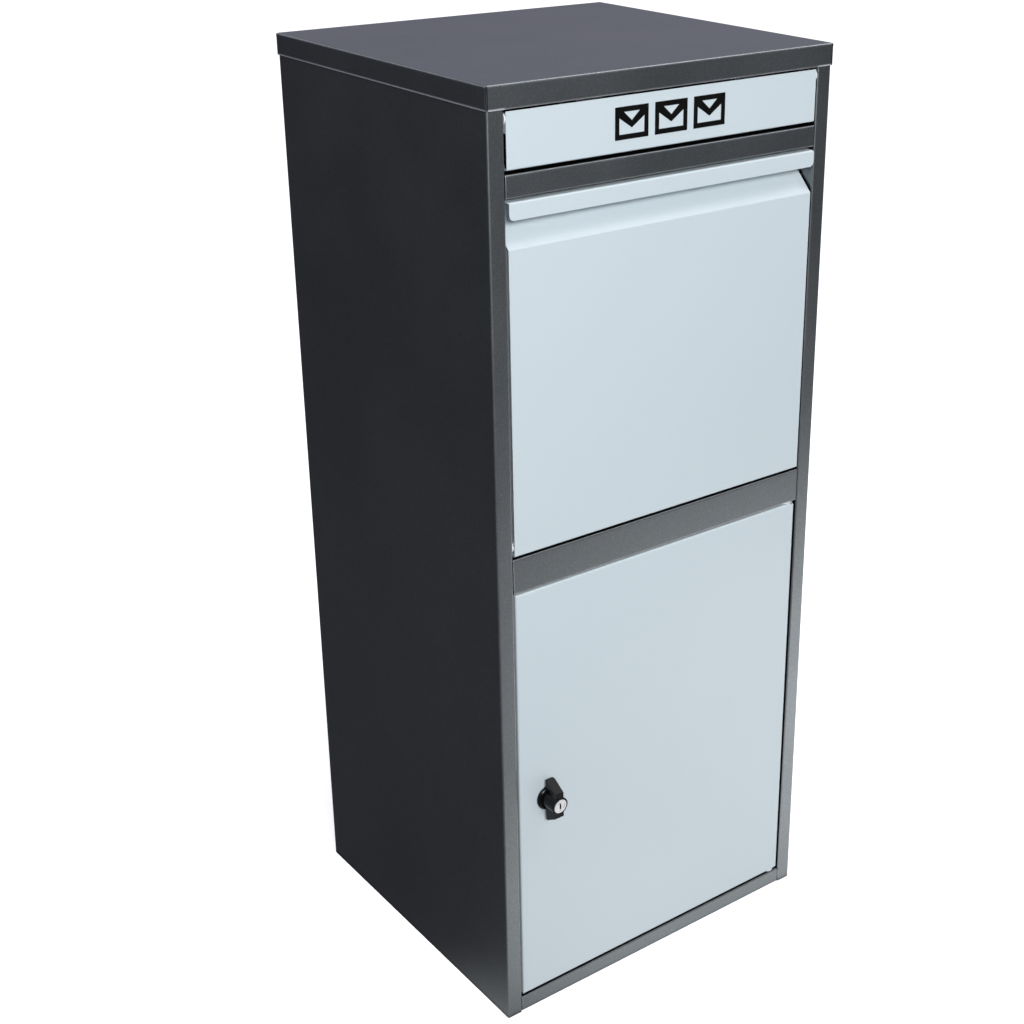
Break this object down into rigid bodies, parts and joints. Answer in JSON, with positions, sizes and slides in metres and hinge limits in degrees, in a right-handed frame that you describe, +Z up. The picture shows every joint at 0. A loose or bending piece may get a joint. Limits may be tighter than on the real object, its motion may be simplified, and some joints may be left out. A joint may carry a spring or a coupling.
{
  "type": "letter and parcel box",
  "caption": "Free-standing steel letter and parcel box with an inward letter flap, a tilting parcel hopper with a pull lip, and a lockable collection door below.",
  "frame": {"origin": "centre of the footprint at floor level, on the underside of the floor pan", "axes": "+Z up, the front with flaps and door faces -Y, +X to the right of somebody facing the front"},
  "size_m": [0.424, 0.4136, 1.02],
  "materials": {
    "cabinet_paint": "fine-textured powder coat",
    "panel_paint": "semi-gloss powder coat",
    "zinc_steel": "zinc plated",
    "black_rubber": "matte",
    "white_nylon": "satin",
    "black_plastic": "satin",
    "sign_ink": "matte",
    "lock_chrome": "polished"
  },
  "bodies": {
    "cabinet": {"side_left": "cabinet_paint", "side_right": "cabinet_paint", "back_panel": "cabinet_paint", "floor_pan": "cabinet_paint", "lid": "cabinet_paint", "lid_rivets": "zinc_steel", "header_rail": "cabinet_paint", "letter_rail": "cabinet_paint", "middle_rail": "cabinet_paint", "bottom_rail": "cabinet_paint", "letter_chute": "cabinet_paint", "hopper_stop_brackets": "cabinet_paint", "hopper_bumpers": "black_rubber", "door_stop_brackets": "cabinet_paint", "door_bumpers": "black_rubber", "letter_pins": "zinc_steel", "hopper_pins": "zinc_steel", "door_pins": "zinc_steel"},
    "letter_flap": {"letter_flap": "panel_paint", "letter_sign": "sign_ink", "letter_bushes": "white_nylon"},
    "parcel_hopper": {"parcel_flap": "panel_paint", "cheek_left": "panel_paint", "cheek_right": "panel_paint", "tray": "panel_paint", "tray_comb": "panel_paint", "hopper_rivets": "zinc_steel", "comb_rivets": "zinc_steel", "hopper_bushes": "white_nylon"},
    "door": {"door_panel": "panel_paint", "door_stiffener": "panel_paint", "door_bushes": "white_nylon", "lock_bezel": "black_plastic", "lock_barrel": "zinc_steel", "lock_washer": "zinc_steel", "lock_nut": "zinc_steel"},
    "knob": {"knob": "black_plastic", "knob_spindle": "zinc_steel", "lock_cam": "zinc_steel", "cam_screw": "zinc_steel", "cylinder_ring": "lock_chrome"},
    "key_plug": {"key_plug": "lock_chrome"}
  },
  "joints": [
    {"name": "letter_flap_hinge", "type": "hinge", "parent": "cabinet", "child": "letter_flap", "pos_m": [0, -0.189, 0.9885], "axis": [1, 0, 0], "range_deg": [0, 70]},
    {"name": "hopper_hinge", "type": "hinge", "parent": "cabinet", "child": "parcel_hopper", "pos_m": [0, -0.187, 0.567], "axis": [1, 0, 0], "range_deg": [0, 45]},
    {"name": "door_hinge", "type": "hinge", "parent": "cabinet", "child": "door", "pos_m": [0.1813, -0.186, 0.269], "axis": [0, 0, 1], "range_deg": [0, 105]},
    {"name": "knob_turn", "type": "hinge", "parent": "door", "child": "knob", "pos_m": [-0.1547, -0.2, 0.2665], "axis": [0, -1, 0], "range_deg": [0, 90]},
    {"name": "plug_turn", "type": "hinge", "parent": "knob", "child": "key_plug", "pos_m": [-0.1547, -0.21, 0.2665], "axis": [0, -1, 0], "range_deg": [0, 90]}
  ]
}
